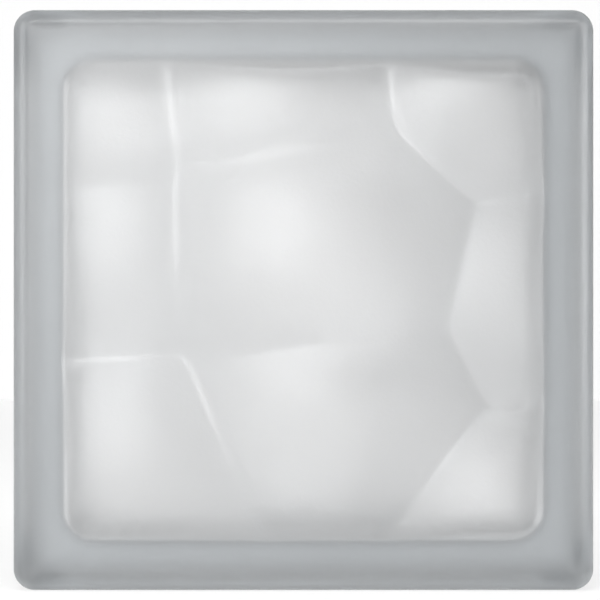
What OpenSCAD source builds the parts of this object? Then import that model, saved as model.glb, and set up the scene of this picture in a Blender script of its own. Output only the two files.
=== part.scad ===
// Hollow glass block for masonry: two pressed glass dishes fused rim to rim into one sealed piece.
// Millimetres. The block stands on its edge as it is laid in a wall: X runs along the wall,
// Y through it with the front face at -Y, and Z up from the bed. The origin is the middle of the bed.

/* [Block] */
// Width of the block along the wall
block_w = 190; // [150:1:300]
// Height of the block
block_h = 190; // [150:1:300]
// Depth of the block through the wall
block_d = 80; // [70:1:100]
// Corner radius of the face, seen from the front
face_corner_r = 7; // [5.75:0.25:14]
// Radius of the rounded edge that runs around each face
face_edge_r = 6; // [2:0.5:10]

/* [Mortar channel] */
// Depth of the lip, from the face to the shoulder of the channel
lip_d = 14; // [8:0.5:18]
// Depth of the channel below the lips
channel_depth = 5.5; // [2:0.25:6.75]
// Length of the sloping shoulder between the lip and the channel's floor
shoulder_d = 5; // [2:0.5:8]
// Radius of the bead of glass squeezed out along the fused seam
seam_bead_r = 1; // [0.5:0.1:2]

/* [Glass thickness] */
// Side wall at the seam, below the channel's floor
wall_t = 7.5; // [4:0.5:9]
// Thinnest place of a pane, at the bottom of the deepest hollow
pane_t = 5; // [4:0.5:10]

/* [Cavity] */
// Corner radius of the cavity at the seam
cavity_corner_r = 13; // [11:0.5:24]
// How far each cavity wall leans in from the seam to the pane
cavity_draft = 3.5; // [0.5:0.5:4]
// Fillet between the cavity wall and the pane
cavity_fillet_r = 8; // [3:0.5:8]

/* [Wave relief] */
// Radius of the large spherical hollows pressed into the inside of each pane
hollow_r = 250; // [200:10:500]
// Tighter radius of the hollows in two corners of the pane
corner_hollow_r = 170; // [140:10:350]

/* [Hidden] */
$fn = 96;
// Sides of the hollows' spheres, which are large
hollow_fn = 240;
// How far a cutting shape runs past what it cuts
overrun = 1;
// Flat that stays between the rounded edge of a face and the axis of the face's corner
edge_flat = 0.5;
// Depth of the layer in which the hollows are cut, deeper than any ridge is high
relief_h = 12;

// The rounded edge, which can't be larger than the corner it runs around
edge_r = min(face_edge_r, face_corner_r - edge_flat);
// The cavity's size at the seam, and its depth from the seam to the deepest hollow
cavity_w = block_w - 2 * (channel_depth + wall_t);
cavity_h = block_h - 2 * (channel_depth + wall_t);
cavity_half_d = block_d / 2 - pane_t;

// The hollows of a pane, as seen from outside its own face: place across and up from the middle
// of the face, as a share of half the cavity, radius, and how far the hollow's bottom stays above
// the deepest one's. The ridges lie where neighbouring hollows meet.
hollows = [
    [-0.825,  0.700, hollow_r,        3.4],
    [-0.070,  0.800, hollow_r,        1.7],
    [ 0.750,  0.900, corner_hollow_r, 0.7],
    [-0.755,  0.195, hollow_r,        3.4],
    [ 0.050,  0.205, hollow_r,        0.0],
    [-0.700, -0.755, hollow_r,        2.0],
    [ 0.140, -0.410, hollow_r,        1.0],
    [ 0.895,  0.000, hollow_r,        3.2],
    [ 0.845, -0.895, corner_hollow_r, 1.0],
];

// A profile carried around a rounded rectangle of w by h, with a plain core inside it.
// The profile's X runs outwards from the corner's axis to r, and its Y is the core's thickness.
module around_rectangle(w, h, r, thickness) {
    straight_w = w - 2 * r;
    straight_h = h - 2 * r;
    translate([-straight_w / 2, -straight_h / 2, -thickness / 2])
        cube([straight_w, straight_h, thickness]);
    for (side = [0:3]) {
        run = side % 2 == 0 ? straight_h : straight_w;
        reach = side % 2 == 0 ? straight_w : straight_h;
        rotate([0, 0, 90 * side]) translate([reach / 2, 0, 0]) {
            translate([0, run / 2, 0]) rotate([90, 0, 0]) linear_extrude(run) children();
            translate([0, run / 2, 0]) rotate_extrude(angle = 90) children();
        }
    }
}

// Half of the section through the block's outside: face edge, lip, shoulder and channel floor
module outer_half_section() {
    face_y = block_d / 2;
    floor_x = face_corner_r - channel_depth;
    edge_x = face_corner_r - edge_r;
    edge_y = face_y - edge_r;
    polygon([
        [0, 0],
        [floor_x, 0],
        [floor_x, face_y - lip_d - shoulder_d],
        [face_corner_r, face_y - lip_d],
        [face_corner_r, edge_y],
        [edge_x, edge_y],
        [edge_x, face_y],
        [0, face_y],
    ]);
    intersection() {
        translate([edge_x, edge_y]) circle(edge_r);
        translate([edge_x, edge_y]) square(edge_r);
    }
}

// The whole outside section, with the seam's bead on the channel floor
module outer_section() {
    outer_half_section();
    mirror([0, 1]) outer_half_section();
    intersection() {
        translate([face_corner_r - channel_depth, 0]) circle(seam_bead_r);
        translate([0, -block_d / 2]) square([face_corner_r, block_d]);
    }
}

// Half of the section through the cavity's edge: the leaning wall and the fillet below the pane
module cavity_half_section() {
    slant = sqrt(cavity_half_d * cavity_half_d + cavity_draft * cavity_draft);
    wall_out = [cavity_half_d, cavity_draft] / slant;
    centre_y = cavity_half_d - cavity_fillet_r;
    centre_x = cavity_corner_r - (centre_y * cavity_draft + cavity_fillet_r * slant) / cavity_half_d;
    centre = [centre_x, centre_y];
    wall_touch = centre + cavity_fillet_r * wall_out;
    polygon([
        [0, 0],
        [cavity_corner_r, 0],
        wall_touch,
        centre,
        [centre_x, cavity_half_d],
        [0, cavity_half_d],
    ]);
    intersection() {
        translate(centre) circle(cavity_fillet_r);
        polygon([
            centre,
            wall_touch,
            wall_touch + cavity_fillet_r * [-wall_out[1], wall_out[0]],
            [centre_x, cavity_half_d + overrun],
        ]);
    }
}

module cavity_section() {
    cavity_half_section();
    mirror([0, 1]) cavity_half_section();
}

// Everything that the plunger presses away up to the ridges of one pane: a plain block below
// the relief and a cap of a sphere for each hollow
module pressed_half() {
    relief_base = cavity_half_d - relief_h;
    size_w = cavity_w + 2 * overrun;
    size_h = cavity_h + 2 * overrun;
    translate([-size_w / 2, -size_h / 2, 0]) cube([size_w, size_h, relief_base]);
    for (hollow = hollows)
        intersection() {
            translate([
                hollow[0] * cavity_w / 2,
                hollow[1] * cavity_h / 2,
                cavity_half_d - hollow[3] - hollow[2],
            ])
                sphere(hollow[2], $fn = hollow_fn);
            translate([-size_w / 2, -size_h / 2, relief_base - overrun])
                cube([size_w, size_h, relief_h + 2 * overrun]);
        }
}

// The sealed cavity. Both dishes come from one mould, so the back one is the front one turned round.
module cavity() {
    intersection() {
        around_rectangle(cavity_w, cavity_h, cavity_corner_r, 2 * cavity_half_d) cavity_section();
        union() {
            pressed_half();
            rotate([0, 180, 0]) pressed_half();
        }
    }
}

// The fused block, built lying on its back face and then stood on its bed
module glass_block() {
    color("#c9d3d6")
        translate([0, 0, block_h / 2])
            rotate([90, 0, 0])
                difference() {
                    around_rectangle(block_w, block_h, face_corner_r, block_d) outer_section();
                    cavity();
                }
}

glass_block();
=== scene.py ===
# Looks of a hollow satin glass block that stands on its edge in a plain white studio.
import math

import bmesh
import bpy
from mathutils import Matrix, Vector


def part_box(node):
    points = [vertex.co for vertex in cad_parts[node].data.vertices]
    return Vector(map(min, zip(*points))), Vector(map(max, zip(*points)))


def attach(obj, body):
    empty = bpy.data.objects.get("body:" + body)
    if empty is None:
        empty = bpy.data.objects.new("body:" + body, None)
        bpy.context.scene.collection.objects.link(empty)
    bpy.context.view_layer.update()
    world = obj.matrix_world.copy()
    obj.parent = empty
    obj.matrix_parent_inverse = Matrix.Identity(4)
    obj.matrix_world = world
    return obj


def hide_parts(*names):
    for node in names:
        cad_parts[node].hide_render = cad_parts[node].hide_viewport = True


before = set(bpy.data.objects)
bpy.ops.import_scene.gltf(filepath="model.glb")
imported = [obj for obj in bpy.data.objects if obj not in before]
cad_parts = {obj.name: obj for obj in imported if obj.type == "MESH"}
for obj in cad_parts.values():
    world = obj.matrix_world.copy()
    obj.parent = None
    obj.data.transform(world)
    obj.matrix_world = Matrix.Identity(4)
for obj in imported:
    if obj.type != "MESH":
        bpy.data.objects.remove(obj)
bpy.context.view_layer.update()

MM = 0.001
BLOCK = "glass_block"

# The block's overall sizes, from its part in model.glb
low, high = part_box(BLOCK)
middle = (low + high) / 2
width, depth, height = high - low

# Section of the pressed and fused glass
FACE_CORNER_R = 7 * MM
FACE_EDGE_R = 6 * MM
LIP_DEPTH = 14 * MM
LIP_EDGE_R = 1.2 * MM
SHOULDER_DEPTH = 5 * MM
SHOULDER_FOOT_R = 2 * MM
CHANNEL_DEPTH = 5.5 * MM
SEAM_BEAD_R = 1 * MM
# Just under the bead's radius, so that its two rounded corners don't meet
SEAM_BEAD_EDGE_R = 0.98 * MM
WALL = 7.5 * MM
THIN_PANE = 5 * MM
CAVITY_CORNER_R = 13 * MM
CAVITY_DRAFT = 3.5 * MM
CAVITY_FILLET_R = 8 * MM

# Hollows pressed into the inside of each pane: place across and up as a share of half the cavity,
# radius in mm, and how far the hollow's bottom stays above the deepest one's in mm
HOLLOWS = [
    (-0.825, 0.70, 250, 3.4),
    (-0.07, 0.80, 250, 1.7),
    (0.75, 0.90, 170, 0.7),
    (-0.755, 0.195, 250, 3.4),
    (0.05, 0.205, 250, 0.0),
    (-0.70, -0.755, 250, 2.0),
    (0.14, -0.41, 250, 1.0),
    (0.895, 0.00, 250, 3.2),
    (0.845, -0.895, 170, 1.0),
]
# Fire polishing rounds the ridges between hollows over about this height
RIDGE_SOFTNESS = 0.24 * MM

# How squarely a face of the cavity looks out of the block where the plunger's polish starts to rise
# and where it is complete, and the polish that is left on steeper sides
POLISH_STARTS = 0.75
POLISH_COMPLETE = 0.95
STEEP_POLISH = 0.4

# Fineness of the mesh
PANE_SEGMENTS = 176
FILLET_STEPS = 8
WALL_STEPS = 4
CORNER_STEPS = 12
EDGE_STEPS = 8
# Points nearer than this are one
WELD_GAP = 0.01 * MM
# Share of half a pane's side that is bent round each corner
CORNER_SHARE = 0.16
# Rounds of working out where the relief cuts the fillet, and the most of the fillet's radius that it cuts
CUT_ROUNDS = 5
DEEPEST_CUT = 0.85
# The crease between pane and fillet is smoothed: from this share of the pane outwards, over the fillet's
# first steps, this many times
CREASE_RING = 0.93
CREASE_STEPS = 6
CREASE_SMOOTHING = 30

cavity_half_w = width / 2 - CHANNEL_DEPTH - WALL
cavity_half_h = height / 2 - CHANNEL_DEPTH - WALL
cavity_half_d = depth / 2 - THIN_PANE


# Shape of the glass


def parts_of(geom, kind):
    """The points or the edges among what an operator gives back."""
    return [part for part in geom if isinstance(part, kind)]


def extruded(bm, edges):
    """Extrudes a chain of edges on the spot, and gives the points and edges of the new chain."""
    drawn = bmesh.ops.extrude_edge_only(bm, edges=edges)["geom"]
    verts = parts_of(drawn, bmesh.types.BMVert)
    new_verts = set(verts)
    return verts, [edge for edge in parts_of(drawn, bmesh.types.BMEdge) if set(edge.verts) <= new_verts]


def swept_ring(bm, profile, half_w, half_h):
    """Draws a profile along the four sides of a rectangle and turns it round each corner."""
    edges = profile
    corner = Vector((half_w, 0, -half_h))
    along = Vector((0, 0, 1))
    quarter_turn = Matrix.Rotation(-math.pi / 2, 3, "Y")
    for run in (2 * half_h, 2 * half_w, 2 * half_h, 2 * half_w):
        verts, edges = extruded(bm, edges)
        bmesh.ops.translate(bm, verts=verts, vec=along * run)
        corner += along * run
        turned = bmesh.ops.spin(
            bm, geom=edges, cent=corner, axis=(0, -1, 0), angle=math.pi / 2, steps=CORNER_STEPS
        )["geom_last"]
        edges = parts_of(turned, bmesh.types.BMEdge)
        along = quarter_turn @ along
    bmesh.ops.remove_doubles(bm, verts=bm.verts, dist=WELD_GAP)


def outside_profile(bm, half_w, half_h):
    """The section of the outside from face to face, as a chain of edges at the lower right corner."""
    face = depth / 2
    rim = FACE_CORNER_R
    floor = FACE_CORNER_R - CHANNEL_DEPTH
    face_border = (FACE_CORNER_R - FACE_EDGE_R) / 2
    half = [
        (face_border, -face, 0),
        (rim, -face, FACE_EDGE_R),
        (rim, LIP_DEPTH - face, LIP_EDGE_R),
        (floor, LIP_DEPTH + SHOULDER_DEPTH - face, SHOULDER_FOOT_R),
        (floor, -SEAM_BEAD_R, 0),
        (floor + SEAM_BEAD_R, -SEAM_BEAD_R, SEAM_BEAD_EDGE_R),
    ]
    points = half + [(out, -y, radius) for out, y, radius in reversed(half)]
    verts = [bm.verts.new((half_w + out, y, -half_h)) for out, y, radius in points]
    for start, end in zip(verts, verts[1:]):
        bm.edges.new((start, end))
    for vert, (out, y, radius) in zip(verts, points):
        if radius:
            bmesh.ops.bevel(
                bm,
                geom=[vert],
                offset=radius,
                segments=EDGE_STEPS,
                profile=0.5,
                affect="VERTICES",
                material=-1,
            )
    return list(bm.edges)


def outside_of_block():
    """The outside of the block, closed by its two flat faces."""
    bm = bmesh.new()
    half_w = width / 2 - FACE_CORNER_R
    half_h = height / 2 - FACE_CORNER_R
    swept_ring(bm, outside_profile(bm, half_w, half_h), half_w, half_h)
    bmesh.ops.holes_fill(bm, edges=[edge for edge in bm.edges if edge.is_boundary])
    bmesh.ops.recalc_face_normals(bm, faces=bm.faces)
    return bm


def relief_level(x, z):
    """How far the cavity reaches from the seam towards a pane: the deepest hollow wins, with soft ridges."""
    caps = []
    for across, up, radius, lift in HOLLOWS:
        away = math.hypot(x - across * cavity_half_w, z - up * cavity_half_h)
        sag = radius * MM - math.sqrt(max((radius * MM) ** 2 - away**2, 0))
        caps.append(cavity_half_d - lift * MM - sag)
    top = max(caps)
    return top + RIDGE_SOFTNESS * math.log(sum(math.exp((cap - top) / RIDGE_SOFTNESS) for cap in caps))


def onto_rounded_rectangle(u, v, half_w, half_h, corner_r):
    """Moves a point of the square from -1 to 1 into a rounded rectangle, with the way out of its edge."""
    ring = max(abs(u), abs(v))
    if ring == 0:
        return 0.0, 0.0, Vector((0, 0, 0))
    radius = corner_r * ring
    reach_w = half_w * ring
    reach_h = half_h * ring
    across = abs(u) / ring
    up = abs(v) / ring
    straight = 1 - CORNER_SHARE
    if across > straight and up > straight:
        if across > up:
            turn = math.pi / 4 * (up - straight) / CORNER_SHARE
        else:
            turn = math.pi / 2 - math.pi / 4 * (across - straight) / CORNER_SHARE
        out = Vector((math.cos(turn), 0, math.sin(turn)))
        x = reach_w - radius + radius * out.x
        z = reach_h - radius + radius * out.z
    elif across > up:
        out = Vector((1, 0, 0))
        x = reach_w
        z = (reach_h - radius) * up / straight
    else:
        out = Vector((0, 0, 1))
        x = (reach_w - radius) * across / straight
        z = reach_h
    signs = Vector((math.copysign(1, u), 1, math.copysign(1, v)))
    return x * signs.x, z * signs.z, out * signs


def fillet_turn(x, z, out):
    """How far the fillet has turned from the pane where the relief cuts it, beside a point of its edge."""
    turn = 0.0
    for attempt in range(CUT_ROUNDS):
        reach = CAVITY_FILLET_R * math.sin(turn)
        drop = cavity_half_d - relief_level(x + out.x * reach, z + out.z * reach)
        turn = math.acos(1 - min(max(drop / CAVITY_FILLET_R, 0), DEEPEST_CUT))
    return turn


def half_cavity(bm):
    """The inside of one dish: the relief of its pane, the fillet that it cuts and the wall to the seam."""
    lean = math.atan2(CAVITY_DRAFT, cavity_half_d)
    fillet_y = cavity_half_d - CAVITY_FILLET_R
    inset = fillet_y * math.tan(lean) + CAVITY_FILLET_R / math.cos(lean)
    fillet_end = math.pi / 2 - lean
    half_w = cavity_half_w - inset
    half_h = cavity_half_h - inset
    corner_r = CAVITY_CORNER_R - inset
    bmesh.ops.create_grid(bm, x_segments=PANE_SEGMENTS, y_segments=PANE_SEGMENTS, size=1)
    cuts = {}
    rings = {}
    for vert in bm.verts:
        u, v = vert.co.x, vert.co.y
        rings[vert] = max(abs(u), abs(v))
        # A point in the very middle has no way out, and isn't divided by its ring
        ring = rings[vert] or 1
        x, z, out = onto_rounded_rectangle(u / ring, v / ring, half_w, half_h, corner_r)
        cut = fillet_turn(x, z, out)
        reach = CAVITY_FILLET_R * math.sin(cut)
        x, z, out = onto_rounded_rectangle(u, v, half_w + reach, half_h + reach, corner_r + reach)
        cuts[vert] = (out, cut)
        vert.co = (x, -relief_level(x, z), z)
    edges = [edge for edge in bm.edges if edge.is_boundary]
    crease = [vert for vert in bm.verts if rings[vert] > CREASE_RING]
    bases = {vert: (vert.co.copy(), *cuts[vert]) for edge in edges for vert in edge.verts}
    for step in range(1, FILLET_STEPS + WALL_STEPS + 1):
        verts, edges = extruded(bm, edges)
        moved = {}
        for vert in verts:
            below = next(
                other for other in (edge.other_vert(vert) for edge in vert.link_edges) if other in bases
            )
            base, out, cut = bases[below]
            turn = cut + (fillet_end - cut) * min(step / FILLET_STEPS, 1)
            reach = CAVITY_FILLET_R * (math.sin(turn) - math.sin(cut))
            level = -base.y - CAVITY_FILLET_R * (math.cos(cut) - math.cos(turn))
            if step > FILLET_STEPS:
                share = (step - FILLET_STEPS) / WALL_STEPS
                reach += (inset - CAVITY_FILLET_R * math.sin(cut) - reach) * share
                level *= 1 - share
            vert.co = Vector((base.x, -level, base.z)) + out * reach
            moved[vert] = (base, out, cut)
        bases = moved
        if step <= CREASE_STEPS:
            crease += verts
    for attempt in range(CREASE_SMOOTHING):
        bmesh.ops.smooth_vert(bm, verts=crease, factor=0.5, use_axis_y=True)


def cavity_of_block():
    """The sealed cavity. Both dishes come from one mould, so the back one is the front one turned round."""
    bm = bmesh.new()
    half_cavity(bm)
    back = bmesh.ops.duplicate(bm, geom=bm.verts[:] + bm.edges[:] + bm.faces[:])["geom"]
    back_verts = parts_of(back, bmesh.types.BMVert)
    half_turn = Matrix.Rotation(math.pi, 3, "Z")
    bmesh.ops.rotate(bm, verts=back_verts, cent=(0, 0, 0), matrix=half_turn)
    bmesh.ops.remove_doubles(bm, verts=bm.verts, dist=WELD_GAP)
    bmesh.ops.recalc_face_normals(bm, faces=bm.faces)
    bmesh.ops.reverse_faces(bm, faces=bm.faces)
    return bm


def plunger_polish(face):
    """How smooth the plunger leaves a face of the cavity: the panes shine and the steep sides are duller."""
    squareness = abs(face.normal.y)
    polish = (squareness - POLISH_STARTS) / (POLISH_COMPLETE - POLISH_STARTS)
    return min(max(polish, STEEP_POLISH), 1.0)


def fused_block(finish):
    """One piece of glass: its outside and its sealed cavity in one mesh, marked where it stays polished."""
    mesh = bpy.data.meshes.new("satin_block")
    whole = bmesh.new()
    outside = outside_of_block()
    cavity = cavity_of_block()
    for shell in (outside, cavity):
        shell.normal_update()
        polished = shell.faces.layers.float.new("polished")
        for face in shell.faces:
            face[polished] = plunger_polish(face) if shell is cavity else 0.0
            face.smooth = True
        shell.to_mesh(mesh)
        whole.from_mesh(mesh)
        shell.free()
    bmesh.ops.translate(whole, verts=whole.verts, vec=middle)
    whole.to_mesh(mesh)
    whole.free()
    mesh.materials.append(finish)
    block = bpy.data.objects.new("satin_block", mesh)
    bpy.context.scene.collection.objects.link(block)
    return block


# Finishes

# Etching leaves faint clouds of this size in the satin
CLOUD_SIZE = 17 * MM
SATIN_SMOOTHEST = 0.38
SATIN_ROUGHEST = 0.42
POLISHED_ROUGHNESS = 0.04
# Pressing leaves shallow waves in the glass
WAVE_LENGTH = 36 * MM
WAVE_HEIGHT = 0.12 * MM
# The grain of the etching is far finer than this. It is drawn this coarse so that it shows.
GRAIN_SIZE = 1.1 * MM
GRAIN_HEIGHT = 0.03 * MM


def colour(code):
    """Linear colour of an sRGB hex value."""
    channels = [int(code[i : i + 2], 16) / 255 for i in (1, 3, 5)]
    return tuple(c / 12.92 if c <= 0.04045 else ((c + 0.055) / 1.055) ** 2.4 for c in channels) + (1.0,)


def add_node(tree, kind, inputs=(), links=(), **settings):
    """Adds a node with its settings, input values and links into it."""
    node = tree.nodes.new(kind)
    for name, value in settings.items():
        setattr(node, name, value)
    for name, value in dict(inputs).items():
        node.inputs[name].default_value = value
    for name, source in dict(links).items():
        tree.links.new(source, node.inputs[name])
    return node


def new_material(name):
    """An empty material, and its node tree."""
    material = bpy.data.materials.new(name)
    material.use_nodes = True
    material.node_tree.nodes.clear()
    return material, material.node_tree


def etched_glass():
    """Pressed soda-lime glass, polished inside and acid-etched outside: a satin skin with a faint sheen
    that lets light through and blurs what is behind it. Long ways through the glass darken it to a
    bluish grey."""
    material, tree = new_material("etched_soda_lime_glass")
    place = add_node(tree, "ShaderNodeTexCoord").outputs["Object"]
    cloud = add_node(
        tree, "ShaderNodeTexNoise", inputs={"Scale": 1 / CLOUD_SIZE, "Detail": 3.0}, links={"Vector": place}
    ).outputs["Fac"]
    satin = add_node(
        tree,
        "ShaderNodeMapRange",
        inputs={"From Min": 0.3, "From Max": 0.7, "To Min": SATIN_SMOOTHEST, "To Max": SATIN_ROUGHEST},
        links={"Value": cloud},
    ).outputs["Result"]
    polished = add_node(tree, "ShaderNodeAttribute", attribute_name="polished").outputs["Fac"]
    roughness = add_node(
        tree,
        "ShaderNodeMapRange",
        inputs={"From Min": 0.0, "From Max": 1.0, "To Max": POLISHED_ROUGHNESS},
        links={"Value": polished, "To Min": satin},
    ).outputs["Result"]
    pressing = add_node(
        tree, "ShaderNodeTexNoise", inputs={"Scale": 1 / WAVE_LENGTH, "Detail": 1.0}, links={"Vector": place}
    ).outputs["Fac"]
    waves = add_node(
        tree,
        "ShaderNodeBump",
        inputs={"Strength": 1.0, "Distance": WAVE_HEIGHT},
        links={"Height": pressing},
    ).outputs["Normal"]
    grain = add_node(
        tree, "ShaderNodeTexNoise", inputs={"Scale": 1 / GRAIN_SIZE, "Detail": 2.0}, links={"Vector": place}
    ).outputs["Fac"]
    etched = add_node(
        tree, "ShaderNodeMapRange", inputs={"To Min": 1.0, "To Max": 0.0}, links={"Value": polished}
    ).outputs["Result"]
    surface = add_node(
        tree,
        "ShaderNodeBump",
        inputs={"Distance": GRAIN_HEIGHT},
        links={"Strength": etched, "Height": grain, "Normal": waves},
    ).outputs["Normal"]
    glass = add_node(
        tree,
        "ShaderNodeBsdfPrincipled",
        inputs={
            "Base Color": colour("#efefef"),
            "Transmission Weight": 1.0,
            "IOR": 1.52,
            "Coat Weight": 0.22,
            "Coat Roughness": 0.2,
        },
        links={"Roughness": roughness, "Normal": surface},
    )
    tint = add_node(
        tree, "ShaderNodeVolumeAbsorption", inputs={"Color": colour("#dfe2e4"), "Density": 29.0}
    )
    add_node(
        tree,
        "ShaderNodeOutputMaterial",
        links={"Surface": glass.outputs[0], "Volume": tint.outputs[0]},
    )
    return material


# Studio, in metres and watts

FLOOR_SIZE = 8.0
TABLE_GLOW = 0.60
BACKDROP_DISTANCE = 1.7
BACKDROP_LEFT = -0.9
BACKDROP_RIGHT = 0.32
BACKDROP_HEIGHT = 0.85
BACKDROP_GLOW = 0.28
# Brightness of the studio's air on the left and on the right
AIR_LEFT = 0.78
AIR_RIGHT = 0.36

# The photograph: its side and the width of the block's face in pixels, and how far the face's middle is
# to the right of the picture's
PHOTO_PIXELS = 600
FACE_PIXELS = 583.5
PIXELS_RIGHT_OF_CENTRE = 3.5
CAMERA_DISTANCE = 0.9
SENSOR_WIDTH_MM = 36


def stage_mesh(name, bm, material):
    """A piece of the studio."""
    mesh = bpy.data.meshes.new(name)
    bm.to_mesh(mesh)
    bm.free()
    mesh.materials.append(material)
    piece = bpy.data.objects.new(name, mesh)
    bpy.context.scene.collection.objects.link(piece)


def white_acrylic(name, tint, glow):
    """Matte white acrylic sheet, lit from behind or below: an even pale ground without gloss."""
    material, tree = new_material(name)
    sheet = add_node(
        tree,
        "ShaderNodeBsdfPrincipled",
        inputs={
            "Base Color": colour(tint),
            "Roughness": 0.9,
            "Emission Color": colour("#ffffff"),
            "Emission Strength": glow,
        },
    )
    add_node(tree, "ShaderNodeOutputMaterial", links={"Surface": sheet.outputs[0]})
    return material


def studio():
    """Pale floor, lit panel behind the block, and soft light all round."""
    floor = bmesh.new()
    bmesh.ops.create_grid(floor, x_segments=1, y_segments=1, size=FLOOR_SIZE / 2)
    stage_mesh("floor", floor, white_acrylic("white_acrylic_table", "#a0a0a0", TABLE_GLOW))
    panel = bmesh.new()
    panel_size = (BACKDROP_RIGHT - BACKDROP_LEFT, BACKDROP_HEIGHT, 1)
    panel_middle = ((BACKDROP_LEFT + BACKDROP_RIGHT) / 2, BACKDROP_DISTANCE, BACKDROP_HEIGHT / 2)
    upright = Matrix.Rotation(math.pi / 2, 3, "X")
    bmesh.ops.create_grid(panel, x_segments=1, y_segments=1, size=0.5)
    bmesh.ops.scale(panel, verts=panel.verts, vec=panel_size)
    bmesh.ops.rotate(panel, verts=panel.verts, cent=(0, 0, 0), matrix=upright)
    bmesh.ops.translate(panel, verts=panel.verts, vec=panel_middle)
    stage_mesh("backdrop", panel, white_acrylic("white_acrylic_wall", "#d0d0d0", BACKDROP_GLOW))
    world = bpy.data.worlds.new("studio_air")
    bpy.context.scene.world = world
    world.use_nodes = True
    tree = world.node_tree
    across = add_node(
        tree,
        "ShaderNodeSeparateXYZ",
        links={"Vector": add_node(tree, "ShaderNodeTexCoord").outputs["Generated"]},
    ).outputs["X"]
    brightness = add_node(
        tree,
        "ShaderNodeMapRange",
        inputs={"From Min": -1.0, "From Max": 1.0, "To Min": AIR_LEFT, "To Max": AIR_RIGHT},
        links={"Value": across},
    ).outputs["Result"]
    tree.links.new(brightness, tree.nodes["Background"].inputs["Strength"])
    tree.nodes["Background"].inputs["Color"].default_value = colour("#ffffff")


def softbox(name, place, size, power):
    """A soft white light aimed at the middle of the block."""
    lamp = bpy.data.lights.new(name, "AREA")
    lamp.shape = "RECTANGLE"
    lamp.size, lamp.size_y = size
    lamp.energy = power
    box = bpy.data.objects.new(name, lamp)
    box.location = place
    box.rotation_euler = (middle - Vector(place)).to_track_quat("-Z", "Y").to_euler()
    box.visible_camera = False
    bpy.context.scene.collection.objects.link(box)


def photo_camera():
    """Head-on view that frames the block as the photograph does."""
    frame_width = width * PHOTO_PIXELS / FACE_PIXELS
    shift = PIXELS_RIGHT_OF_CENTRE * frame_width / PHOTO_PIXELS
    data = bpy.data.cameras.new("camera")
    data.sensor_width = SENSOR_WIDTH_MM
    data.lens = SENSOR_WIDTH_MM * CAMERA_DISTANCE / frame_width
    camera = bpy.data.objects.new("camera", data)
    camera.location = (-shift, low.y - CAMERA_DISTANCE, middle.z)
    camera.rotation_euler = (math.pi / 2, 0, 0)
    bpy.context.scene.collection.objects.link(camera)
    bpy.context.scene.camera = camera


photo_camera()
studio()
softbox("key", place=(-0.31, -1.64, 0.36), size=(0.62, 0.62), power=7)
softbox("top light", place=(0, -1.1, 1.2), size=(1.2, 0.5), power=11)
for side in (-1, 1):
    softbox("side light", place=(1.2 * side, -0.75, 0.45), size=(1.0, 1.0), power=12)

block = fused_block(etched_glass())
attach(block, "root")
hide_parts(BLOCK)

view = bpy.context.scene.view_settings
view.view_transform = "Standard"
view.look = "None"
